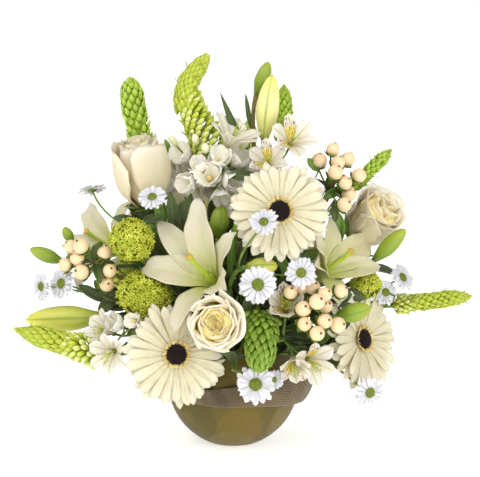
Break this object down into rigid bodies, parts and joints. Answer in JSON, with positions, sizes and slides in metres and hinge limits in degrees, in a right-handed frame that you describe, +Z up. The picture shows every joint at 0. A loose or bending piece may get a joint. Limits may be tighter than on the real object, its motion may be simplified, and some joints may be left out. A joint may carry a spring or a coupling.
{
  "type": "floral table centerpiece",
  "caption": "Fresh white and green flower arrangement standing in a round gold-lustre glass bubble bowl, for the middle of a table.",
  "frame": {"origin": "centre of the bowl's flat foot, in the plane it rests on", "axes": "+Z up, +X to the right and -Y to the front, as the arrangement is seen in the picture"},
  "size_m": [0.418, 0.2884, 0.3655],
  "materials": {
    "lustre_glass": "gold and olive lustre with soft overlapping ovals, glossy",
    "wet_foam": "soaked floral foam, matt",
    "woven_mesh": "finely woven taupe mesh",
    "gerbera_petal": "fresh cream-white petal with fine lines, satin",
    "gerbera_eye": "near-black florets with an ochre ring, matt",
    "flower_stem": "fresh green stem, satin",
    "lily_petal": "waxy white tepal, green towards the throat",
    "lily_bud": "closed yellow-green bud, satin",
    "rose_petal": "cream petal, satin",
    "flower_spike": "green buds, satin",
    "berry": "peach berries with green sepals, glossy",
    "lime_florets": "tiny lime green florets, matt",
    "daisy_rays": "white rays round a green eye, satin",
    "alstroemeria_petal": "white petals with yellow patches and brown dashes, satin",
    "dark_leaf": "dark green leaf, satin"
  },
  "bodies": {
    "root": {"bowl": "lustre_glass", "foam": "wet_foam", "mesh_wrap": "woven_mesh", "gerbera_left_petals": "gerbera_petal", "gerbera_left_eye": "gerbera_eye", "gerbera_left_stem": "flower_stem", "gerbera_top_petals": "gerbera_petal", "gerbera_top_eye": "gerbera_eye", "gerbera_top_stem": "flower_stem", "gerbera_right_petals": "gerbera_petal", "gerbera_right_eye": "gerbera_eye", "gerbera_right_stem": "flower_stem", "gerbera_back_petals": "gerbera_petal", "gerbera_back_eye": "gerbera_eye", "gerbera_back_stem": "flower_stem", "lily_centre_tepals": "lily_petal", "lily_centre_stem": "flower_stem", "lily_right_tepals": "lily_petal", "lily_right_stem": "flower_stem", "lily_left_tepals": "lily_petal", "lily_left_stem": "flower_stem", "lily_back_tepals": "lily_petal", "lily_back_stem": "flower_stem", "lily_bud_stem_top": "lily_bud", "lily_bud_stem_left": "lily_bud", "rose_left_petals": "rose_petal", "rose_left_stem": "flower_stem", "rose_front_petals": "rose_petal", "rose_front_stem": "flower_stem", "rose_right_petals": "rose_petal", "rose_right_stem": "flower_stem", "rose_back_petals": "rose_petal", "rose_back_stem": "flower_stem", "spike_tall": "flower_spike", "spike_left_top": "flower_spike", "spike_right": "flower_spike", "spike_left_low": "flower_spike", "spike_front": "flower_spike", "spike_right_top": "flower_spike", "spike_top": "flower_spike", "spike_back": "flower_spike", "hypericum_top_right": "berry", "hypericum_left": "berry", "hypericum_right": "berry", "hypericum_back": "berry", "viburnum_left": "lime_florets", "viburnum_right": "lime_florets", "viburnum_back": "lime_florets", "daisies_top_left": "daisy_rays", "daisies_left": "daisy_rays", "daisies_centre": "daisy_rays", "daisies_front": "daisy_rays", "daisy_right_low": "daisy_rays", "daisies_right": "daisy_rays", "daisies_back": "daisy_rays", "alstroemeria_top": "alstroemeria_petal", "alstroemeria_right_low": "alstroemeria_petal", "alstroemeria_left_low": "alstroemeria_petal", "leafy_stem_left": "dark_leaf", "leafy_stem_right": "dark_leaf"}
  },
  "joints": []
}
